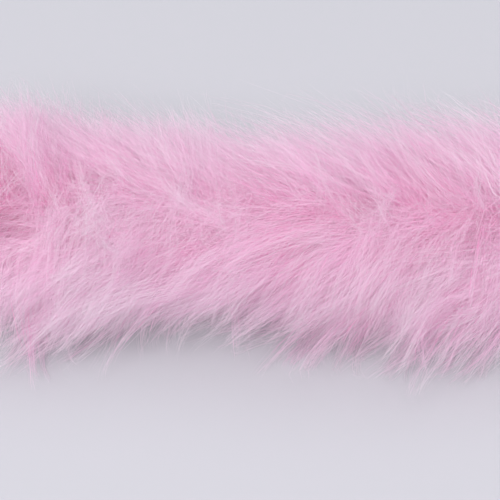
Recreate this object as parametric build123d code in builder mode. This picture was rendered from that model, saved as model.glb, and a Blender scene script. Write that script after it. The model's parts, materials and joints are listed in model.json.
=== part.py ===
"""Marabou feather boa: a soft cord, a binding thread round it, and downy plumes whose butts the thread grips.

The boa lies on a flat surface (z = 0) in an open loop, +Z up. Its front stretch runs along +X and its two ends lie
apart at the back. It is built as nine stretches joined by eight upright hinges, which stand for the bending of one
continuous cord. Every stretch has its own length of cord and thread, and its own plumes.
"""
from build123d import *
import math
import os

# Driving dimensions (mm, degrees)
CORD_DIAMETER = 3.0  # two-ply cotton core cord
CORD_HEIGHT = 33.0  # the cord's axis above the surface, propped up by the plumes under it
BEND_GAP = 0.8  # between the cords of two stretches, at the hinge
THREAD_GAP = 2.4  # between their threads
THREAD_THICKNESS = 0.8  # depth of the wound thread, which holds the plume butts
FIT_CLEARANCE = 0.02  # cord to thread

PLUME_PITCH = 6.0  # along the cord, from one butt to the next
PLUME_TURN = 137.5  # round the cord, from one butt to the next
PLUME_LENGTHS = {"long": 47.0, "middle": 42.5, "short": 37.0}  # along the quill's curve
PLUME_CURVE = 80.0  # radius of that curve
PLUME_RISE = 72.0  # angle between cord and quill at the butt
PLUME_WIDTH = 17.0
PLUME_THICKNESS = 1.1
QUILL_DIAMETER = 1.2
QUILL_LENGTH = 9.0  # the bare quill, below the downy vane
BUTT_RADIUS = 1.75  # from the cord's axis to the butt
BUTT_MARGIN = 3.0  # from the end of the thread to the first butt

TAIL_LENGTH = 12.0
KNOT_DIAMETER = 7.0
WHIPPING_LENGTH = 10.0
WHIPPING_DIAMETER = 5.0
END_GAP = 1.0  # knot to whipping, and whipping to thread

# The cord's route, left end to right end (mm). Runs are at most 60 mm, and no three points are in line.
ROUTE = [
    (-117, 256), (-176, 248), (-232, 227), (-281, 194), (-321, 151), (-352, 100), (-371, 44), (-378, -15),
    (-372, -74), (-351, -129), (-315, -177), (-268, -212), (-213, -234), (-155, -247), (-96, -253),
    (-37, -255), (23, -255), (82, -252), (141, -245), (198, -231), (253, -209), (303, -176), (342, -132),
    (368, -79), (379, -20), (374, 39), (358, 96), (330, 148), (293, 194), (248, 233), (196, 262),
    (140, 282),
]
# The hinges stand at the middle of these runs, counted from the left end.
HINGE_RUNS = [3, 6, 9, 12, 18, 21, 24, 27]
STRETCHES = ["left_4", "left_3", "left_2", "left_1", "middle", "right_1", "right_2", "right_3", "right_4"]

COTTON = (0.93, 0.80, 0.86)
THREAD = (0.85, 0.45, 0.62)
DOWN = [(0.95, 0.66, 0.79), (0.91, 0.60, 0.75)]

CORD_RADIUS = CORD_DIAMETER / 2
THREAD_RADIUS = CORD_RADIUS + THREAD_THICKNESS
KNOT_LENGTH = math.sqrt(KNOT_DIAMETER ** 2 - CORD_DIAMETER ** 2)
CORD_START = TAIL_LENGTH + KNOT_LENGTH
WHIPPING_START = CORD_START + END_GAP
THREAD_START = WHIPPING_START + WHIPPING_LENGTH + END_GAP
LAST_STRETCH = len(STRETCHES) - 1
POINTS = [Vector(x, y, CORD_HEIGHT) for x, y in ROUTE]


def corner_radius(before, corner, after):
    """The largest arc that leaves a tenth of the shorter run straight."""
    first, second = corner - before, after - corner
    half_turn = math.radians(first.get_angle(second) / 2)
    return 0.45 * min(first.length, second.length) / math.tan(half_turn)


CORNERS = {i: corner_radius(*POINTS[i - 1:i + 2]) for i in range(1, len(POINTS) - 1)}


def hinge_point(joint):
    run = HINGE_RUNS[joint]
    return (POINTS[run] + POINTS[run + 1]) * 0.5


def stretch_path(stretch, start, end):
    """One stretch's line from hinge to hinge, shortened by start and end."""
    first = HINGE_RUNS[stretch - 1] + 1 if stretch > 0 else 1
    last = HINGE_RUNS[stretch] if stretch < LAST_STRETCH else len(POINTS) - 2
    head = hinge_point(stretch - 1) if stretch > 0 else POINTS[0]
    foot = hinge_point(stretch) if stretch < LAST_STRETCH else POINTS[-1]
    inner = POINTS[first:last + 1]
    head = head + (inner[0] - head).normalized() * start
    foot = foot + (inner[-1] - foot).normalized() * end
    with BuildLine() as line:
        FilletPolyline(head, *inner, foot, radius=[CORNERS[i] for i in range(first, last + 1)])
    return line.wires()[0]


def swept_tube(path, outer, inner=0.0):
    with BuildPart() as tube:
        with BuildSketch(Plane(origin=path @ 0, z_dir=path % 0)):
            Circle(outer)
            if inner:
                Circle(inner, mode=Mode.SUBTRACT)
        sweep(path=path)
    return tube


def save(piece, name, colour):
    piece.part.label = name
    piece.part.color = Color(*colour)
    export_step(piece.part, f"parts/{name}.step")


os.makedirs("parts", exist_ok=True)


# Plumes. Each is a round bare quill and a thin leaf-shaped vane on one curve. The butt is at the origin, the plume
# rises along +Z and leans towards +X.
def curve_point(along, lift=0.0):
    """A point on the quill's curve, in X and Z, lifted square to it."""
    rise = math.radians(PLUME_RISE)
    angle = rise - along / PLUME_CURVE
    x = PLUME_CURVE * (math.sin(rise) - math.sin(angle)) - lift * math.sin(angle)
    z = PLUME_CURVE * (math.cos(angle) - math.cos(rise)) + lift * math.cos(angle)
    return x, z


def plume(length):
    half = PLUME_THICKNESS / 2
    vane_start, vane_middle = QUILL_LENGTH, (QUILL_LENGTH + length) / 2
    root_x, root_z = curve_point(vane_start)
    tip_x, tip_z = curve_point(length)
    chord = Vector(tip_x - root_x, 0, tip_z - root_z)
    across = Plane(origin=(root_x, 0, root_z), x_dir=chord, z_dir=(-chord.Z, 0, chord.X))
    with BuildPart() as feather:
        with BuildSketch(Plane.XZ):
            with BuildLine():
                ThreePointArc(*[curve_point(s, half) for s in (vane_start, vane_middle, length)])
                Line(curve_point(length, half), curve_point(length, -half))
                ThreePointArc(*[curve_point(s, -half) for s in (length, vane_middle, vane_start)])
                Line(curve_point(vane_start, -half), curve_point(vane_start, half))
            make_face()
        extrude(amount=PLUME_WIDTH / 2, both=True)
        with BuildSketch(across):
            with BuildLine():
                ThreePointArc((0, half), (chord.length / 2, PLUME_WIDTH / 2), (chord.length, half))
                Line((chord.length, half), (chord.length, -half))
                ThreePointArc((chord.length, -half), (chord.length / 2, -PLUME_WIDTH / 2), (0, -half))
                Line((0, -half), (0, half))
            make_face()
        extrude(amount=PLUME_LENGTHS["long"], both=True, mode=Mode.INTERSECT)
        with BuildLine(Plane.XZ) as quill:
            ThreePointArc(*[curve_point(s) for s in (0, QUILL_LENGTH / 2 + 1, QUILL_LENGTH + 2)])
        with BuildSketch(Plane(origin=quill.line @ 0, z_dir=quill.line % 0)):
            Circle(QUILL_DIAMETER / 2)
        sweep(path=quill.line)
    return feather


PLUMES = {size: plume(length) for size, length in PLUME_LENGTHS.items()}


def plume_size(roll):
    """Plumes under the cord are short, because they lie between it and the surface."""
    height = math.sin(math.radians(roll))
    if height < -0.55:
        return "short"
    return "long" if height > 0.25 else "middle"


def plume_plane(path, along, roll):
    """Where a plume stands: its butt in the thread, leaning back towards the boa's left end."""
    share = along / path.length
    forward = path % share
    side = Vector(-forward.Y, forward.X, 0)
    turn = math.radians(roll)
    outward = side * math.cos(turn) + Vector(0, 0, 1) * math.sin(turn)
    return Plane(origin=path @ share + outward * BUTT_RADIUS, x_dir=forward * -1, z_dir=outward)


planted = 0
for stretch, name in enumerate(STRETCHES):
    start_trim = 0 if stretch else CORD_START
    end_trim = 0 if stretch < LAST_STRETCH else CORD_START
    cord_path = stretch_path(stretch, start_trim or BEND_GAP / 2, end_trim or BEND_GAP / 2)
    thread_start = THREAD_START if stretch == 0 else THREAD_GAP / 2
    thread_end = THREAD_START if stretch == LAST_STRETCH else THREAD_GAP / 2
    thread_path = stretch_path(stretch, thread_start, thread_end)

    cord = swept_tube(cord_path, CORD_RADIUS)
    save(cord, f"{name}_core_cord", COTTON)
    plain_volume = math.pi * CORD_RADIUS ** 2 * cord_path.length
    print(f"{name} cord {cord_path.length:.1f} mm, volume {cord.part.volume:.1f} of {plain_volume:.1f} mm3")

    thread = swept_tube(thread_path, THREAD_RADIUS, CORD_RADIUS + FIT_CLEARANCE)
    save(thread, f"{name}_binding_thread", THREAD)

    count = int((thread_path.length - 2 * BUTT_MARGIN) / PLUME_PITCH) + 1
    spare = thread_path.length - (count - 1) * PLUME_PITCH
    places = {size: [] for size in PLUMES}
    for i in range(count):
        roll = (planted + i) * PLUME_TURN
        places[plume_size(roll)].append(plume_plane(thread_path, spare / 2 + i * PLUME_PITCH, roll))
    with BuildPart() as plumes:
        for size, planes in places.items():
            with Locations(*planes):
                add(PLUMES[size].part)
    planted += count
    print(f"{name} plumes {count}, solids {len(plumes.part.solids())}")
    save(plumes, f"{name}_plumes", DOWN[stretch % 2])

# A knot: a ball with a flat at each end, as wide as the cord that goes in there. It lies along X.
with BuildPart() as KNOT:
    with BuildSketch(Plane.XY):
        with BuildLine():
            ThreePointArc((0, CORD_RADIUS), (KNOT_LENGTH / 2, KNOT_DIAMETER / 2), (KNOT_LENGTH, CORD_RADIUS))
            Polyline((KNOT_LENGTH, CORD_RADIUS), (KNOT_LENGTH, 0), (0, 0), (0, CORD_RADIUS))
        make_face()
    revolve(axis=Axis.X)

# Both ends: whipping, knot and free tail, set along the straight end of the cord.
for name, end, inward in [("left", POINTS[0], POINTS[1]), ("right", POINTS[-1], POINTS[-2])]:
    direction = (inward - end).normalized()
    with BuildPart() as tail:
        with BuildSketch(Plane(origin=end, z_dir=direction)):
            Circle(CORD_RADIUS)
        extrude(amount=TAIL_LENGTH)
        fillet(tail.faces().sort_by(Axis(end, direction))[0].edges(), CORD_RADIUS * 0.4)
    save(tail, f"{name}_cord_tail", COTTON)

    knot_start = end + direction * TAIL_LENGTH
    with BuildPart() as knot:
        with Locations(Plane(origin=knot_start, x_dir=direction, z_dir=(0, 0, 1))):
            add(KNOT.part)
    save(knot, f"{name}_end_knot", COTTON)

    with BuildPart() as whipping:
        with BuildSketch(Plane(origin=end + direction * WHIPPING_START, z_dir=direction)):
            Circle(WHIPPING_DIAMETER / 2)
            Circle(CORD_RADIUS + FIT_CLEARANCE, mode=Mode.SUBTRACT)
        extrude(amount=WHIPPING_LENGTH)
    save(whipping, f"{name}_end_whipping", THREAD)

print("corner radii", [round(radius) for radius in CORNERS.values()])
print("plumes in all", planted)
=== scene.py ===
"""The looks of the marabou feather boa: its plumage, cord, thread, knots, floor, light and camera."""

import json
import math

import bpy
import numpy as np
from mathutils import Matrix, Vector

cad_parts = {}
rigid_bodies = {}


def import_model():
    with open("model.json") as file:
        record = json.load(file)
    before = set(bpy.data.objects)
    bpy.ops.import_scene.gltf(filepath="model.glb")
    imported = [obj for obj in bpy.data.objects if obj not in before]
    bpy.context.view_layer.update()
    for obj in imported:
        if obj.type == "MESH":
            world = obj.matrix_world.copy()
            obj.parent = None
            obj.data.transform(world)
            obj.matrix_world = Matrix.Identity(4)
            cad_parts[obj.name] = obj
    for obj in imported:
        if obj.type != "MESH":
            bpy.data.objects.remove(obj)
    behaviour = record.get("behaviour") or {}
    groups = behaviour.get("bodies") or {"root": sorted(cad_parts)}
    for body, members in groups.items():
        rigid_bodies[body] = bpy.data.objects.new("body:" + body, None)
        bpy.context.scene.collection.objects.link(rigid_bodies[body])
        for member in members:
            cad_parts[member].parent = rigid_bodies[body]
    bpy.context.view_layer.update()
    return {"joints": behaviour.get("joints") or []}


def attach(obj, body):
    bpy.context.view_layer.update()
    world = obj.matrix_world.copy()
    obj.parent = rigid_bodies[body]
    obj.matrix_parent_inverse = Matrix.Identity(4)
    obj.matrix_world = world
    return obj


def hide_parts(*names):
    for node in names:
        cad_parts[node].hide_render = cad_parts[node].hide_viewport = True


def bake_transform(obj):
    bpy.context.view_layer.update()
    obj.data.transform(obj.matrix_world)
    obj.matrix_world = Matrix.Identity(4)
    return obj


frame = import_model()

# ---- Sizes, in metres and degrees ----
MM = 0.001
CORD_DIAMETER = 3.0 * MM
CORD_HEIGHT = 33.0 * MM
THREAD_RADIUS = 1.85 * MM  # from the cord's middle to the wound thread's middle
THREAD_THICKNESS = 0.6 * MM
THREAD_PITCH = 2.4 * MM
THREAD_STEPS, WHIPPING_STEPS = 12, 20  # points to a turn
TAIL_LENGTH, KNOT_LENGTH, KNOT_DIAMETER = 12.0 * MM, 6.3 * MM, 7.0 * MM
END_GAP, WHIPPING_LENGTH, WHIPPING_DIAMETER = 1.0 * MM, 10.0 * MM, 5.0 * MM
KNOT_STRAND = 1.25 * MM  # half the thickness of the cord where the knot pulls it tight
KNOT_TURNS, KNOT_STEPS = 1.75, 90
CORD_LAY = 7.0 * MM  # one turn of the two plies
CORD_STEP = 0.8 * MM
FRAY_FIBRES, FIBRE_WIDTH = 260, 0.12 * MM
FLOOR_CLEARANCE = 0.3 * MM

# The cord's route, left end to right end, in millimetres.
ROUTE = [
    (-117, 256), (-176, 248), (-232, 227), (-281, 194), (-321, 151), (-352, 100), (-371, 44), (-378, -15),
    (-372, -74), (-351, -129), (-315, -177), (-268, -212), (-213, -234), (-155, -247), (-96, -253),
    (-37, -255), (23, -255), (82, -252), (141, -245), (198, -231), (253, -209), (303, -176), (342, -132),
    (368, -79), (379, -20), (374, 39), (358, 96), (330, 148), (293, 194), (248, 233), (196, 262),
    (140, 282),
]


def add_object(name, data):
    thing = bpy.data.objects.new(name, data)
    bpy.context.collection.objects.link(thing)
    return thing


# ---- Camera ----
VIEW_WIDTH = 174 * MM
LENS, SENSOR = 90.0, 36.0
ELEVATION, AZIMUTH = 58.0, 1.5
TARGET = Vector((-0.007, -0.260, 0.028))


def make_camera():
    """Looks down at the front of the boa, a little from the right."""
    data = bpy.data.cameras.new("camera")
    data.lens, data.sensor_width = LENS, SENSOR
    data.clip_start, data.clip_end = 0.01, 20.0
    camera = add_object("camera", data)
    elevation, azimuth = math.radians(ELEVATION), math.radians(AZIMUTH)
    distance = VIEW_WIDTH * LENS / SENSOR
    away = Vector((math.sin(azimuth) * math.cos(elevation), -math.cos(azimuth) * math.cos(elevation),
                   math.sin(elevation)))
    camera.location = TARGET + away * distance
    camera.rotation_euler = away.to_track_quat("Z", "Y").to_euler()
    bpy.context.scene.camera = camera


make_camera()


# ---- The route as one smooth line ----
class Line:
    """A line of close points with its length, to be read at any distance along it."""

    def __init__(self, points):
        self.points = points
        steps = np.linalg.norm(np.diff(points, axis=0), axis=1)
        self.along = np.concatenate([[0.0], np.cumsum(steps)])
        self.length = self.along[-1]
        self.tangents = np.gradient(points, self.along, axis=0)

    def read(self, table, s):
        return np.stack([np.interp(s, self.along, table[:, k]) for k in range(3)], axis=-1)

    def at(self, s):
        """Points, and the forward and sideways directions there. It goes straight on past either end."""
        clipped = np.clip(s, 0, self.length)
        forward = self.read(self.tangents, clipped)
        forward /= np.linalg.norm(forward, axis=-1, keepdims=True)
        point = self.read(self.points, clipped) + forward * (s - clipped)[..., None]
        side = np.stack([-forward[..., 1], forward[..., 0], np.zeros_like(s)], axis=-1)
        return point, forward, side


def route_line():
    """The cord's route as close points on a smooth curve."""
    data = bpy.data.curves.new("route", "CURVE")
    data.dimensions = "3D"
    spline = data.splines.new("NURBS")
    spline.points.add(len(ROUTE) - 1)
    for point, (x, y) in zip(spline.points, ROUTE):
        point.co = (x * MM, y * MM, CORD_HEIGHT, 1.0)
    spline.order_u = 3
    spline.use_endpoint_u = True
    spline.resolution_u = 16
    holder = bpy.data.objects.new("route", data)
    mesh = bpy.data.meshes.new_from_object(holder)
    points = np.array([v.co for v in mesh.vertices])
    bpy.data.objects.remove(holder)
    bpy.data.meshes.remove(mesh)
    return Line(points)


route = route_line()


# ---- Sections of the boa ----
# Each joint stands at a distance along the cord. A section crosses one joint at most.
joints = []
for joint in frame["joints"]:
    nearest = np.argmin(np.linalg.norm(route.points - np.array(joint["pos_m"]), axis=1))
    joints.append((route.along[nearest], joint["parent"], joint["child"]))
joints.sort()
LEFT_JOINTS = [j for j in joints if j[2].startswith("left")]
RIGHT_JOINTS = [j for j in joints if j[2].startswith("right")]
FRONT = (LEFT_JOINTS[-1][0] + RIGHT_JOINTS[0][0]) / 2
FRONT_LEFT, FRONT_RIGHT = 90 * MM, 126 * MM  # how far the fine stretch goes to each side of FRONT
BEND_HALF = 42 * MM  # this far to each side of its joint
END_REACH = 88 * MM  # how far the last jointed section goes past its joint


def middles(cuts):
    """The places halfway between neighbours."""
    return [(a + b) / 2 for a, b in zip(cuts, cuts[1:])]


class Section:
    """A stretch of the boa between two places on the cord, which crosses one joint or none."""

    def __init__(self, name, first, last, body, joint=None):
        self.name, self.body, self.joint = name, body, joint
        self.first, self.last = first, last

    def settle(self, piece):
        """Let a piece of this stretch ride on its one body. A piece of a stretch that crosses a joint
        only has its placing baked into its mesh, and rides on no body.
        """
        if self.joint is None:
            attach(piece, self.body)
            return
        s, parent, child = self.joint
        inward = BEND_HALF if child.startswith("left") else -BEND_HALF
        ends, _, _ = route.at(np.array([s - inward, s + inward]))
        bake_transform(piece)


def make_sections():
    """All stretches, from the left end to the right end. Each cut between two joints is halfway."""
    left_cuts = [0.0, LEFT_JOINTS[0][0] - END_REACH]
    left_cuts += middles([j[0] for j in LEFT_JOINTS]) + [FRONT - FRONT_LEFT]
    right_cuts = [FRONT + FRONT_RIGHT] + middles([j[0] for j in RIGHT_JOINTS])
    right_cuts += [RIGHT_JOINTS[-1][0] + END_REACH, route.length]
    made = [Section("left_4_end", left_cuts[0], left_cuts[1], "left_4")]
    made += [Section(j[2], a, b, j[2], j) for j, a, b in zip(LEFT_JOINTS, left_cuts[1:], left_cuts[2:])]
    made += [Section("middle", left_cuts[-1], right_cuts[0], "middle")]
    made += [Section(j[2], a, b, j[2], j) for j, a, b in zip(RIGHT_JOINTS, right_cuts, right_cuts[1:])]
    made += [Section("right_4_end", right_cuts[-2], right_cuts[-1], "right_4")]
    return made


SECTIONS = make_sections()
# The two ends: where each starts on the cord, and which way it runs inwards.
ENDS = {"left": (0.0, 1), "right": (route.length, -1)}
# The thread starts this far in from either end.
PLUMED_FROM = TAIL_LENGTH + KNOT_LENGTH + 2 * END_GAP + WHIPPING_LENGTH


# ---- Materials ----
def new_material(name):
    """An empty material, with its nodes and links to fill in."""
    material = bpy.data.materials.new(name)
    material.use_nodes = True
    nodes = material.node_tree.nodes
    nodes.clear()
    return material, nodes, material.node_tree.links


def ramp(nodes, stops):
    """A colour ramp with the given places and colours."""
    node = nodes.new("ShaderNodeValToRGB")
    elements = node.color_ramp.elements
    while len(elements) < len(stops):
        elements.new(0.5)
    for element, (place, colour) in zip(elements, stops):
        element.position, element.color = place, (*colour, 1.0)
    return node


COTTON_COLOURS = (0.70, 0.42, 0.54), (0.86, 0.62, 0.72)
THREAD_COLOURS = (0.62, 0.20, 0.36), (0.78, 0.34, 0.50)
FLOOR_COLOUR = (0.475, 0.478, 0.512, 1.0)
# Colours of the darkest and the palest barbs, from root to tip. The deeper pink towards the root is
# partly the dye and partly painted shade deep inside the down.
DARK_BARB = [(0.0, (0.98, 0.33, 0.62)), (0.45, (0.98, 0.60, 0.82)), (1.0, (0.98, 0.79, 0.92))]
PALE_BARB = [(0.0, (0.98, 0.68, 0.86)), (0.45, (0.985, 0.88, 0.955)), (1.0, (0.985, 0.94, 0.97))]


def down_material():
    """Dyed down: deep pink at the root, pale at the tip, and each barb a little lighter or darker.
    The deeper pink towards the root is partly the dye and partly painted shade deep inside the down.
    """
    material, nodes, links = new_material("marabou_down")
    place = nodes.new("ShaderNodeUVMap")
    place.uv_map = "OFBake"
    split = nodes.new("ShaderNodeSeparateXYZ")
    links.new(place.outputs["UV"], split.inputs[0])
    dark = ramp(nodes, DARK_BARB)
    pale = ramp(nodes, PALE_BARB)
    mix = nodes.new("ShaderNodeMix")
    mix.data_type = "RGBA"
    links.new(split.outputs["X"], dark.inputs[0])
    links.new(split.outputs["X"], pale.inputs[0])
    links.new(split.outputs["Y"], mix.inputs["Factor"])
    links.new(dark.outputs["Color"], mix.inputs["A"])
    links.new(pale.outputs["Color"], mix.inputs["B"])
    shader = nodes.new("ShaderNodeBsdfPrincipled")
    shader.inputs["Roughness"].default_value = 0.75
    shader.inputs["Specular IOR Level"].default_value = 0.2
    shader.inputs["Sheen Weight"].default_value = 0.3
    shader.inputs["Sheen Roughness"].default_value = 0.4
    through = nodes.new("ShaderNodeBsdfTranslucent")
    both = nodes.new("ShaderNodeMixShader")
    both.inputs["Fac"].default_value = 0.55
    output = nodes.new("ShaderNodeOutputMaterial")
    links.new(mix.outputs["Result"], shader.inputs["Base Color"])
    links.new(mix.outputs["Result"], through.inputs["Color"])
    links.new(shader.outputs[0], both.inputs[1])
    links.new(through.outputs[0], both.inputs[2])
    links.new(both.outputs[0], output.inputs["Surface"])
    return material


def yarn_material(name, low, high, grain):
    """Spun cotton: a matt colour that varies along its fibres."""
    material, nodes, links = new_material(name)
    place = nodes.new("ShaderNodeTexCoord")
    noise = nodes.new("ShaderNodeTexNoise")
    noise.inputs["Scale"].default_value = grain
    noise.inputs["Detail"].default_value = 4.0
    links.new(place.outputs["Object"], noise.inputs["Vector"])
    colours = ramp(nodes, [(0.3, low), (0.7, high)])
    links.new(noise.outputs["Fac"], colours.inputs[0])
    bump = nodes.new("ShaderNodeBump")
    bump.inputs["Strength"].default_value = 0.5
    bump.inputs["Distance"].default_value = 0.1 * MM
    links.new(noise.outputs["Fac"], bump.inputs["Height"])
    shader = nodes.new("ShaderNodeBsdfPrincipled")
    shader.inputs["Roughness"].default_value = 0.85
    shader.inputs["Specular IOR Level"].default_value = 0.2
    shader.inputs["Sheen Weight"].default_value = 0.3
    shader.inputs["Sheen Roughness"].default_value = 0.5
    links.new(colours.outputs["Color"], shader.inputs["Base Color"])
    links.new(bump.outputs["Normal"], shader.inputs["Normal"])
    output = nodes.new("ShaderNodeOutputMaterial")
    links.new(shader.outputs[0], output.inputs["Surface"])
    return material


def floor_material():
    material, nodes, links = new_material("pale_floor")
    shader = nodes.new("ShaderNodeBsdfPrincipled")
    shader.inputs["Base Color"].default_value = FLOOR_COLOUR
    shader.inputs["Roughness"].default_value = 0.9
    shader.inputs["Specular IOR Level"].default_value = 0.1
    output = nodes.new("ShaderNodeOutputMaterial")
    links.new(shader.outputs[0], output.inputs["Surface"])
    return material


DOWN = down_material()
COTTON = yarn_material("core_cord", *COTTON_COLOURS, grain=2600.0)
THREAD = yarn_material("binding_thread", *THREAD_COLOURS, grain=3000.0)


# ---- Ribbons, for barbs and loose fibres ----
RIBBON_SEED, FRAY_SEED = 7, 40


def ribbon_mesh(name, points, tone, width, end_u):
    """Thin ribbons along the given lines, turned any way, each narrowing to a point."""
    rng = np.random.default_rng(RIBBON_SEED)
    n, steps = points.shape[:2]
    tangent = np.gradient(points, axis=1)
    tangent /= np.linalg.norm(tangent, axis=2, keepdims=True) + 1e-12
    any_way = rng.normal(size=(n, 1, 3))
    across = np.cross(tangent, any_way)
    across /= np.linalg.norm(across, axis=2, keepdims=True) + 1e-12
    t = np.linspace(0, 1, steps)
    taper = (1 - 0.75 * t[:-1] ** 1.5)[None, :, None]
    half = 0.5 * width[:, None, None] * taper * across[:, :-1]
    left, right = points[:, :-1] - half, points[:, :-1] + half
    per = 2 * (steps - 1) + 1
    verts = np.empty((n, per, 3), np.float32)
    verts[:, 0:-1:2], verts[:, 1:-1:2], verts[:, -1] = left, right, points[:, -1]
    quads = [(2 * k, 2 * k + 1, 2 * k + 3, 2 * k + 2) for k in range(steps - 2)]
    base = (np.arange(n) * per)[:, None]
    quad_part = (base[:, None] + np.array(quads)[None]).reshape(n, -1)
    tri_part = base + np.array([[per - 3, per - 2, per - 1]])
    loops = np.concatenate([quad_part, tri_part], axis=1).ravel().astype(np.int32)
    sizes = np.tile([4] * len(quads) + [3], n).astype(np.int32)
    starts = np.concatenate([[0], np.cumsum(sizes)[:-1]]).astype(np.int32)
    mesh = bpy.data.meshes.new(name)
    mesh.vertices.add(n * per)
    mesh.vertices.foreach_set("co", verts.ravel())
    mesh.loops.add(len(loops))
    mesh.loops.foreach_set("vertex_index", loops)
    mesh.polygons.add(len(sizes))
    mesh.polygons.foreach_set("loop_start", starts)
    mesh.polygons.foreach_set("loop_total", sizes)
    mesh.polygons.foreach_set("use_smooth", np.ones(len(sizes), bool))
    # u runs from root to tip, v is the barb's own tone
    u = np.empty((n, per), np.float32)
    along = t[None, :] * end_u[:, None]
    u[:, 0:-1:2], u[:, 1:-1:2], u[:, -1] = along[:, :-1], along[:, :-1], along[:, -1]
    v = np.repeat(tone[:, None], per, axis=1)
    uv = np.stack([u.ravel()[loops], v.ravel()[loops]], axis=1).astype(np.float32)
    layer = mesh.uv_layers.new(name="OFBake")
    layer.data.foreach_set("uv", uv.ravel())
    mesh.update()
    mesh.validate()
    return add_object(name, mesh)


# ---- Cord, thread, whippings, knots and frayed tails ----
def tube_mesh(name, centres, outward, radius, sides=8, lobes=0.0):
    """A closed tube round a line. Lobes above 0 make its section two plies side by side."""
    tangent = np.gradient(centres, axis=0)
    tangent /= np.linalg.norm(tangent, axis=1, keepdims=True)
    first = outward - (outward * tangent).sum(axis=1, keepdims=True) * tangent
    first /= np.linalg.norm(first, axis=1, keepdims=True)
    second = np.cross(tangent, first)
    angle = np.linspace(0, 2 * math.pi, sides, endpoint=False)
    ring = radius * (1 - lobes * np.sin(angle) ** 2)
    verts = centres[:, None] + first[:, None] * (ring * np.cos(angle))[:, None]
    verts = verts + second[:, None] * (ring * np.sin(angle))[:, None]
    n = len(centres)
    k, j = np.meshgrid(np.arange(n - 1), np.arange(sides), indexing="ij")
    after = (j + 1) % sides
    here, beyond = k * sides, (k + 1) * sides
    quads = np.stack([here + j, here + after, beyond + after, beyond + j], axis=-1)
    faces = quads.reshape(-1, 4).tolist()
    faces += [list(range(sides))[::-1], list(range((n - 1) * sides, n * sides))]
    mesh = bpy.data.meshes.new(name)
    mesh.from_pydata(verts.reshape(-1, 3).tolist(), [], faces)
    mesh.polygons.foreach_set("use_smooth", np.ones(len(faces), bool))
    mesh.update()
    return add_object(name, mesh)


def round_about(s, turn):
    """The direction square to the cord at each place, turned about it."""
    _, _, side = route.at(s)
    out = side * np.cos(turn)[:, None]
    out[:, 2] += np.sin(turn)
    return out


def finish_piece(piece, material):
    """Give a piece its material."""
    piece.data.materials.append(material)
    return piece


def cord_piece(section):
    """Two-ply cotton cord. Its section is two plies pressed together, and it turns along the cord."""
    s = np.linspace(section.first, section.last, round((section.last - section.first) / CORD_STEP) + 1)
    centres, _, _ = route.at(s)
    twist = round_about(s, 2 * math.pi * s / CORD_LAY)
    piece = tube_mesh(f"{section.name}_cord", centres, twist, CORD_DIAMETER / 2, sides=12, lobes=0.38)
    return finish_piece(piece, COTTON), centres


def thread_piece(section):
    """The thread that binds the plume butts to the cord, wound in one helix."""
    first = max(section.first, PLUMED_FROM)
    last = min(section.last, route.length - PLUMED_FROM)
    s = np.linspace(first, last, round((last - first) / THREAD_PITCH * THREAD_STEPS) + 1)
    out = round_about(s, 2 * math.pi * s / THREAD_PITCH)
    centres, _, _ = route.at(s)
    helix = centres + out * THREAD_RADIUS
    piece = tube_mesh(f"{section.name}_thread", helix, out, THREAD_THICKNESS / 2, sides=5)
    return finish_piece(piece, THREAD)


def whipping_piece(side):
    """Close turns of thread over the cord, between the knot and the first plume."""
    end, inward = ENDS[side]
    first = end + inward * (TAIL_LENGTH + KNOT_LENGTH + END_GAP)
    turns = WHIPPING_LENGTH / THREAD_THICKNESS - 1
    share = np.linspace(0, 1, round(turns * WHIPPING_STEPS) + 1)
    s = first + inward * (THREAD_THICKNESS / 2 + share * (WHIPPING_LENGTH - THREAD_THICKNESS))
    out = round_about(s, 2 * math.pi * turns * share)
    centres, _, _ = route.at(s)
    helix = centres + out * (WHIPPING_DIAMETER / 2 - THREAD_THICKNESS / 2)
    # a little thicker than its pitch, so that the turns touch
    piece = tube_mesh(f"{side}_whipping", helix, out, THREAD_THICKNESS / 2 * 1.08, sides=6)
    return finish_piece(piece, THREAD)


def knot_piece(side):
    """An overhand knot: the cord doubles back over itself, goes round and tucks in."""
    end, inward = ENDS[side]
    share = np.linspace(0, 1, KNOT_STEPS)
    back_and_forth = np.interp(share, [0, 0.12, 0.55, 0.88, 1], [0.12, 0.80, 0.42, 0.2, 0.88])
    run = TAIL_LENGTH + KNOT_LENGTH * back_and_forth
    run = np.convolve(np.pad(run, 4, mode="edge"), np.ones(9) / 9, mode="valid")
    lift = (KNOT_DIAMETER / 2 - KNOT_STRAND) * np.clip(np.sin(math.pi * share), 0, 1) ** 0.4
    s = end + inward * run
    out = round_about(s, 2 * math.pi * KNOT_TURNS * share + 0.6)
    centres, _, _ = route.at(s)
    path = centres + out * lift[:, None]
    piece = tube_mesh(f"{side}_knot", path, out, KNOT_STRAND, sides=12, lobes=0.1)
    return finish_piece(piece, COTTON)


def fray_piece(side):
    """The tail's end, frayed into loose cotton fibres."""
    end, inward = ENDS[side]
    rng = np.random.default_rng(FRAY_SEED + inward)
    n, steps = FRAY_FIBRES, 5
    t = np.linspace(0, 1, steps)[None, :]
    turn = rng.uniform(0, 2 * math.pi, (n, 1))
    spread = rng.uniform(0.1, 1.0, (n, 1)) * CORD_DIAMETER / 2
    along = inward * (1.5 - rng.uniform(2.5, 5.0, (n, 1)) * t) * MM
    centre, _, square = route.at(end + along)
    away = spread * (0.75 + 1.1 * t ** 2 * rng.uniform(0, 1, (n, 1)))
    points = centre + square * (np.cos(turn) * away)[..., None]
    points[..., 2] += np.sin(turn) * away
    tone, width, end_u = np.full(n, 0.5), np.full(n, FIBRE_WIDTH), np.full(n, 0.2)
    piece = ribbon_mesh(f"{side}_tail_fray", points, tone, width, end_u)
    return finish_piece(piece, COTTON)


for side in ENDS:
    parts = {"knot": knot_piece(side), "whipping": whipping_piece(side), "fray": fray_piece(side)}
    for part in parts.values():
        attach(part, f"{side}_4")
    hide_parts(f"{side}_end_knot")
    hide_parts(f"{side}_end_whipping")
    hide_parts(f"{side}_cord_tail")

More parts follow.
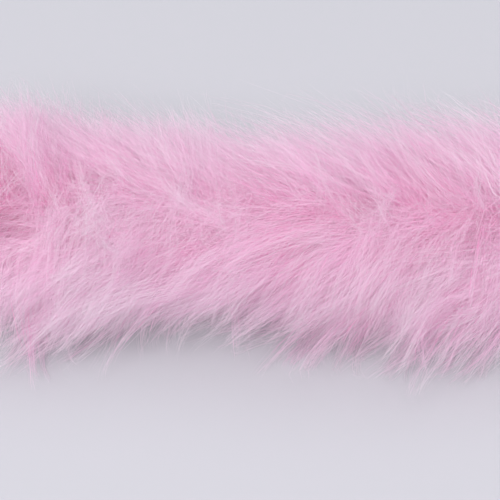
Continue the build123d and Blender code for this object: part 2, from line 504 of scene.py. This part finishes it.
for section in SECTIONS:
    piece, line = cord_piece(section)
    section.settle(piece)
    at_end = section.name.endswith("_end")
    side = section.name.split("_")[0]
    tail = [f"{side}_cord_tail"] if at_end else []
    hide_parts(f"{section.body}_core_cord", *tail)
    thread = thread_piece(section)
    section.settle(thread)
    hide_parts(f"{section.body}_binding_thread")


# ---- Plumage: sizes ----
class Look:
    """How one stretch of down is made: barbs to a plume, points along a barb, and a barb's width."""

    def __init__(self, barbs, steps, width):
        self.barbs, self.steps, self.width = barbs, steps, width


FINE = Look(barbs=6500, steps=6, width=0.11 * MM)
COARSE = Look(barbs=640, steps=5, width=0.42 * MM)

FRONT_PIECES = 12  # the fine stretch is made in this many pieces
BARE = 3.0 * MM  # cord left bare between a whipping and the first plume
PLUME_PITCH, PLUME_TURN = 6.0 * MM, 137.5
LOCKS_PER_PLUME, STRANDS_PER_LOCK = 13, 12
ROOT, SHAFT_ROOT = 3.0 * MM, 2.0 * MM  # where barbs and shafts start, from the cord's middle
SHAFT_REACH, SHAFT_WIDTH = 0.6, 0.8 * MM

# Directions round the cord: 0 is the boa's outer side, 90 degrees is up.
PARTING = 78.0  # where the down parts along the top
PARTING_TILT, TILT_HALF = 6.0, 60 * MM  # this much lower to the right of the front, higher to the left
COMB = 60.0  # how far the down is swept away from the parting, degrees

# How far the down reaches from the cord. Single barbs reach a share of this, up to LONGEST.
REACH_SIDE, REACH_TOP, REACH_UNDER = 38.0 * MM, 35.0 * MM, 33.5 * MM
TUCK = 6.0 * MM  # shorter by up to this much low on each side, near the surface it lies on
TUCK_ANGLE, TUCK_SPREAD = -0.6, 0.42  # radians up from level
LONGEST, LESS_UP = 1.6, 0.4  # those that point up reach less

# How far back along the cord the tips lie from their roots.
LEAN, LEAN_SPREAD = 32.0 * MM, 10.0 * MM
OWN_SIDE_LEAN = 1.3  # times as far where the down is combed to the side that it grows on

# The waist, where the down is thinnest all round, and the neck, where it is thin on the inner side only.
WAIST_PLACE, WAIST_HALF, WAIST_THIN = FRONT + 13 * MM, 24 * MM, 0.10
NECK_PLACE, NECK_HALF, NECK_THIN = FRONT + 45 * MM, 28 * MM, 0.13

# The down hangs nearly straight here, and over a longer stretch to the left of this place.
HANG_PLACE, HANG_HALF = FRONT - 84 * MM, 36 * MM
HANG_DEPTH, HANG_LEFT = 0.85, 2.2

# Each place: distance along the cord, direction round it, depth. A depth above 0 shows deeper pink,
# and one below 0 is paler. The deeper pink at the two places on the hollows below is painted shade there.
DEEP_PLACES = [
    (FRONT - 72 * MM, math.radians(60), 0.75),
    (FRONT - 36 * MM, math.radians(45), -0.4),
    (FRONT + 92 * MM, math.radians(80), 0.15),
]
DEEP_HALF, DEEP_SPREAD = 9 * MM, 0.45

# Hollows where the locks part to both sides and lie lower, in the same form.
HOLLOWS = [(FRONT - 78 * MM, math.radians(47), 0.4), (FRONT + 86 * MM, math.radians(62), 0.2)]
HOLLOW_HALF, HOLLOW_SPREAD = 10 * MM, 0.42
HOLLOW_PUSH, HOLLOW_MIDDLE = 12 * MM, 4 * MM


# ---- Plumage: shapes ----
def wander(s, phi, seed, wavelength):
    """Smooth noise in about -1..1 over the boa, by place along the cord and direction from it."""
    total = np.zeros(np.broadcast(s, phi).shape)
    for k in range(5):
        pace = 2 * math.pi / wavelength * (0.55 + 0.27 * k)
        total += np.cos(pace * s + (-1) ** k * (k % 3 + 1) * phi + seed * 2.1 + k * k * 1.3)
    return total / 2.6


def near_place(s, place, half):
    """1 at a place along the cord, 0 away from it."""
    return np.exp(-((s - place) / half) ** 2)


def turn_from(phi, direction):
    """The angle from a direction, in -pi..pi."""
    return np.mod(phi - direction + math.pi, 2 * math.pi) - math.pi


def patch(s, phi, place, direction, half, spread):
    """1 at a place on the boa's surface, 0 away from it."""
    return np.exp(-((s - place) / half) ** 2 - (turn_from(phi, direction) / spread) ** 2)


def envelope(phi, s):
    """How far the down reaches from the cord, by direction and place."""
    waist = near_place(s, WAIST_PLACE, WAIST_HALF)
    up = np.sin(phi)
    reach = REACH_SIDE + (REACH_TOP - REACH_SIDE) * np.clip(up, 0, 1) ** 2
    reach += (REACH_UNDER - REACH_SIDE) * np.clip(-up, 0, 1)
    tuck = TUCK * (0.4 + 0.6 * waist)
    reach -= tuck * np.exp(-((np.arcsin(np.clip(up, -1, 1)) - TUCK_ANGLE) / TUCK_SPREAD) ** 2)
    behind = np.clip(0.3 - np.cos(phi), 0, 1)
    thin = WAIST_THIN * waist + NECK_THIN * behind * near_place(s, NECK_PLACE, NECK_HALF)
    return reach * (1 - thin) * (1 + 0.06 * wander(s, phi, 3.0, 60 * MM))


def parting_line(s):
    """The direction in which the down parts, at each place along the cord."""
    turned = 10 * wander(s, 0.0, 2.0, 90 * MM) - PARTING_TILT * np.tanh((s - FRONT) / TILT_HALF)
    return np.radians(PARTING + turned)


# ---- Plumage: locks and strands ----
class Strands:
    """The strands of some plumes. A plume's barbs lie in locks, and each lock is several strands.

    Each value holds one number to a strand: its direction, its place along the cord, how far back it
    leans, how far it reaches, how much it is combed, how far it turns aside, its tone, how close its
    barbs gather towards the tip, how much it waves, and the flow that it shares with its neighbours.
    The numbers in the draws are given middles and spreads.
    """

    def __init__(self, rng, plume):
        count = len(plume) * LOCKS_PER_PLUME
        of_plume = np.repeat(np.arange(len(plume)), LOCKS_PER_PLUME)
        phi = np.radians(plume * PLUME_TURN)[of_plume] + rng.normal(0, math.radians(36), count)
        s = (plume * PLUME_PITCH)[of_plume] + rng.normal(0, 4.0 * MM, count)
        lean = LEAN + rng.normal(0, 4.0 * MM, len(plume))[of_plume] + rng.normal(0, LEAN_SPREAD, count)
        tone = 0.58 + rng.normal(0, 0.06, len(plume))[of_plume] + rng.normal(0, 0.08, count)
        tone = tone + 0.32 * wander(s, phi, 4.0, 16 * MM)
        # Painted shade: the tone is deeper pink at the places on the hollows.
        for place, direction, depth in DEEP_PLACES:
            tone = tone - depth * patch(s, phi, place, direction, DEEP_HALF, DEEP_SPREAD)

        n = count * STRANDS_PER_LOCK
        of_lock = np.repeat(np.arange(count), STRANDS_PER_LOCK)
        self.phi = phi[of_lock] + rng.normal(0, math.radians(12), n)
        self.s = s[of_lock] + rng.normal(0, 3.6 * MM, n)
        self.lean = lean[of_lock] + rng.normal(0, 6.0 * MM, n)
        self.reach = rng.uniform(0.60, 1.02, count)[of_lock]
        self.reach *= np.clip(rng.normal(0.94, 0.19, n), 0.5, 1.25)

        # Wisps stand out past the others and hang loose. There are more of them low down.
        waist = near_place(self.s, WAIST_PLACE, WAIST_HALF)
        low = np.clip(0.3 - 1.5 * np.sin(self.phi), 0, 1) * (1 - 0.6 * waist)
        wisp = rng.random(n) < 0.08 + 0.20 * low
        wisp_reach = rng.uniform(1.0, 1.2, n) + rng.uniform(0.15, 0.7, n) * low
        self.reach = np.where(wisp, wisp_reach, self.reach)
        self.lean = np.where(wisp, 0.6 * self.lean, self.lean)

        self.comb = rng.normal(0.76, 0.30, count)[of_lock] + rng.normal(0, 0.20, n)
        self.comb = np.clip(self.comb, -0.2, 1.4)
        stray = wisp | (rng.random(n) < 0.08)
        self.comb = np.where(stray, rng.uniform(-0.1, 0.5, n), self.comb)
        self.side = (rng.normal(0, 11, count)[of_lock] + rng.normal(0, 8, n)) * math.pi / 180
        longer = np.minimum(self.reach, 1.1) - 0.8
        self.tone = tone[of_lock] + rng.normal(0, 0.26, n) + 0.5 * longer

        # Behind, the strands fan out into haze instead of gathering.
        behind = np.clip(-1.2 * np.cos(self.phi), 0, 1)
        self.gather = rng.uniform(0.55, 0.97, n) * (1 - 0.6 * behind)
        self.gather = np.where(wisp, 0.88 * (1 - 0.9 * behind), self.gather)
        self.wave = rng.uniform(0.2, 1.6, n) * MM
        self.flow_s = wander(s, phi, 1.0, 34 * MM)[of_lock]
        self.flow_phi = wander(s, phi, 7.0, 30 * MM)[of_lock]


# ---- Plumage: barbs ----
class Barbs:
    """The barbs rooted between two places on the cord. Each belongs to one strand.

    Most barbs lie in their strand. Some are loose and thin, some are short and thick and fill the
    inside, and the first of each plume is its shaft.
    """

    def __init__(self, rng, first, last, look):
        plume = np.arange(math.ceil(first / PLUME_PITCH), math.ceil(last / PLUME_PITCH))
        strands = Strands(rng, plume)
        self.count = n = len(plume) * look.barbs
        per_plume = LOCKS_PER_PLUME * STRANDS_PER_LOCK
        own = rng.integers(0, per_plume, n) + np.repeat(np.arange(len(plume)), look.barbs) * per_plume
        kind = rng.random(n)
        self.shaft = np.arange(n) % look.barbs == 0
        self.inner = (kind < 0.20) & ~self.shaft
        self.loose = loose = (kind > 0.78) & ~self.shaft
        self.phi, self.s = strands.phi[own], strands.s[own]
        self.side, self.wave = strands.side[own], strands.wave[own]
        self.flow_s, self.flow_phi = strands.flow_s[own], strands.flow_phi[own]
        self.gather = np.where(loose, 0.0, strands.gather[own])

        # How far a barb's root lies from the middle of its strand.
        lay = np.where(loose | self.inner, 3.0, 1.0)
        self.off_phi = rng.normal(0, math.radians(5.0), n) * lay
        self.off_s = rng.normal(0, 1.5 * MM, n) * lay

        # Loose barbs reach furthest high up behind, where they make a haze.
        reach = strands.reach[own] * np.clip(rng.normal(0.97, 0.06, n), 0.5, 1.15)
        up, front = np.sin(self.phi), np.cos(self.phi)
        haze = np.clip(-1.6 * front - 0.5, 0, 1) * np.clip(1.3 * up + 0.3, 0, 1)
        far = rng.uniform(0.75, 1.22, n) + 0.42 * haze * rng.random(n)
        short = reach * rng.uniform(0.55, 0.85, n)
        reach = np.where(loose, far, np.where(self.inner, short, reach))
        longest = LONGEST - LESS_UP * np.clip(up, 0, 1)
        self.reach = np.where(self.shaft, SHAFT_REACH, np.minimum(reach, longest))

        self.comb = strands.comb[own]
        self.comb = self.comb * np.where(loose, rng.uniform(0.1, 1.0, n), rng.uniform(0.95, 1.05, n))
        self.lean = strands.lean[own]
        self.lean = self.lean * np.where(loose, rng.uniform(0.3, 1.2, n), rng.uniform(0.95, 1.05, n))
        self.lean = self.lean * self.reach
        self.tip_phi = self.side + rng.normal(0, math.radians(2.5), n) * np.where(loose, 7.0, 1.0)
        self.tone = strands.tone[own] + rng.normal(0, 0.06, n)
        # Loose barbs are paler, less so in the haze behind. Inner barbs are darker: painted shade inside
        # the down.
        self.tone = self.tone + np.where(loose, 0.12 - 0.15 * haze, 0) - np.where(self.inner, 0.25, 0)
        self.start = np.where(self.shaft, 0.0, rng.uniform(0.0, 0.35, n))
        self.beat = np.where(loose, rng.uniform(0.7, 1.6, n), 1.0)
        self.phase = np.where(loose, rng.uniform(0, 2 * math.pi, n), self.side * 40)


def column(values):
    """One row to a barb, to go with one column to a step along it."""
    return values[:, None]


def swept(barbs, phi0, s0, t):
    """The direction of each point, and whether its barb is combed to the side that it grows on."""
    off = turn_from(phi0, parting_line(s0))
    away = np.sign(off[:, :1] + column(barbs.side) * 2.4)
    own_side = (away < 0) == (np.cos(phi0[:, :1]) > 0)
    swing = np.radians(COMB) * ((1 + np.cos(off)) / 2) ** 0.6 * column(barbs.comb)
    tip = column(barbs.tip_phi + math.radians(14) * barbs.flow_phi)
    return phi0 + away * swing * t ** 1.7 + tip * t ** 1.6, own_side


def laid_back(barbs, s0, own_side, curl, t):
    """The place along the cord of each point, leaning back and waving."""
    half = np.where(s0 < HANG_PLACE, HANG_LEFT, 1.0) * HANG_HALF
    straight = 1 - HANG_DEPTH * near_place(s0, HANG_PLACE, half)
    lean = column(barbs.lean) * straight * np.where(own_side, OWN_SIDE_LEAN, 1.0)
    s = s0 - lean * np.sin(math.pi / 2 * t)
    return s + 8 * MM * column(barbs.flow_s) * t ** 1.3 + column(barbs.wave) * curl * t


def barb_curves(first, last, look, seed):
    """Centre lines of all barbs rooted between two places on the cord, with their looks."""
    rng = np.random.default_rng(seed)
    barbs = Barbs(rng, first, last, look)
    t = np.linspace(0, 1, look.steps)[None, :]
    apart = 1 - column(barbs.gather) * t ** 1.2
    phi0 = column(barbs.phi) + column(barbs.off_phi) * (1 + 0.8 * t) * apart
    s0 = column(barbs.s) + column(barbs.off_s) * apart
    curl = np.sin(2 * math.pi * column(barbs.beat) * t + column(barbs.phase))
    phi, own_side = swept(barbs, phi0, s0, t)
    phi = phi + np.radians(2.5) * np.roll(curl, 1, axis=1) * t
    out = column(barbs.start) + (1 - column(barbs.start)) * (1 - (1 - t) ** 1.6)
    root = column(np.where(barbs.shaft, SHAFT_ROOT, ROOT))
    rho = root + (envelope(phi, s0) * column(barbs.reach) - root) * out
    s = laid_back(barbs, s0, own_side, curl, t)
    for place, direction, depth in HOLLOWS:
        near = patch(s, phi, place, direction, HOLLOW_HALF, HOLLOW_SPREAD)
        s = s + depth * HOLLOW_PUSH * np.tanh((s - place) / HOLLOW_MIDDLE) * near
        rho = rho * (1 - depth * near)

    centre, _, side = route.at(s)
    points = centre - side * (np.cos(phi) * rho)[..., None]
    points[..., 2] += np.sin(phi) * rho
    # Barbs that would go into the floor lie on it and spread outwards.
    lowest = FLOOR_CLEARANCE + rng.uniform(0, 2.5 * MM, (barbs.count, 1)) * t
    sunk = np.clip(lowest - points[..., 2], 0, None)
    points[..., 2] += sunk
    points -= side * (np.sign(np.cos(phi)) * sunk * 0.6)[..., None]

    thickness = np.where(barbs.loose, 0.65, np.where(barbs.inner, 2.0, 1.0))
    width = look.width * thickness * rng.uniform(0.6, 1.3, barbs.count)
    width = np.where(barbs.shaft, SHAFT_WIDTH, width)
    # Inner barbs take only the deeper root part of the colour ramp, more painted shade inside the down.
    end_u = np.where(barbs.inner, 0.5, np.where(barbs.shaft, 0.3, 1.0))
    return points, np.clip(barbs.tone, 0.02, 0.98), width, end_u


# ---- Plumage: pieces ----
ARM_SEED, FRONT_SEED = 200, 300


def plumes(name, first, last, look, seed):
    """The down of all plumes between two places on the cord, as one piece."""
    piece = ribbon_mesh(name, *barb_curves(first, last, look, seed))
    return finish_piece(piece, DOWN)


for number, section in enumerate(SECTIONS):
    if section.name == "middle":
        continue
    first = max(section.first, PLUMED_FROM + BARE)
    last = min(section.last, route.length - PLUMED_FROM - BARE)
    piece = plumes(f"{section.name}_plumage", first, last, COARSE, ARM_SEED + number)
    section.settle(piece)
    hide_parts(f"{section.body}_plumes")

front_cuts = np.linspace(FRONT - FRONT_LEFT, FRONT + FRONT_RIGHT, FRONT_PIECES + 1)
for k, (first, last) in enumerate(zip(front_cuts, front_cuts[1:])):
    piece = plumes(f"middle_plumage_{k + 1}", first, last, FINE, FRONT_SEED + k)
    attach(piece, "middle")
    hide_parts("middle_plumes")


# ---- Floor and light ----
FLOOR_HALF = 6.0
SKY_COLOUR, SKY_STRENGTH = (0.94, 0.95, 1.0, 1.0), 0.48


def make_floor():
    """One flat sheet at the height that the boa lies on."""
    mesh = bpy.data.meshes.new("floor")
    corners = [(-1, -1, 0), (1, -1, 0), (1, 1, 0), (-1, 1, 0)]
    corners = [(x * FLOOR_HALF, y * FLOOR_HALF, z) for x, y, z in corners]
    mesh.from_pydata(corners, [], [(0, 1, 2, 3)])
    mesh.materials.append(floor_material())
    add_object("floor", mesh)


def area_light(name, location, target, size, power, colour):
    """A round light that faces its target."""
    data = bpy.data.lights.new(name, "AREA")
    data.shape, data.size, data.energy, data.color = "DISK", size, power, colour
    light = add_object(name, data)
    light.location = location
    light.rotation_euler = (Vector(location) - Vector(target)).to_track_quat("Z", "Y").to_euler()


def make_light():
    """A pale sky, a large soft light from the front and above, and a weaker one from behind."""
    world = bpy.data.worlds.new("studio")
    world.use_nodes = True
    background = world.node_tree.nodes["Background"]
    background.inputs["Color"].default_value = SKY_COLOUR
    background.inputs["Strength"].default_value = SKY_STRENGTH
    bpy.context.scene.world = world
    area_light("key", location=(-0.33, -1.2, 2.0), target=(0, -0.2, 0), size=1.8, power=50.0,
               colour=(1.0, 0.99, 0.98))
    area_light("fill", location=(0.45, 0.45, 2.1), target=(0, -0.1, 0), size=1.8, power=13.5,
               colour=(0.97, 0.98, 1.0))


make_floor()
make_light()
bpy.context.scene.view_settings.view_transform = "Standard"
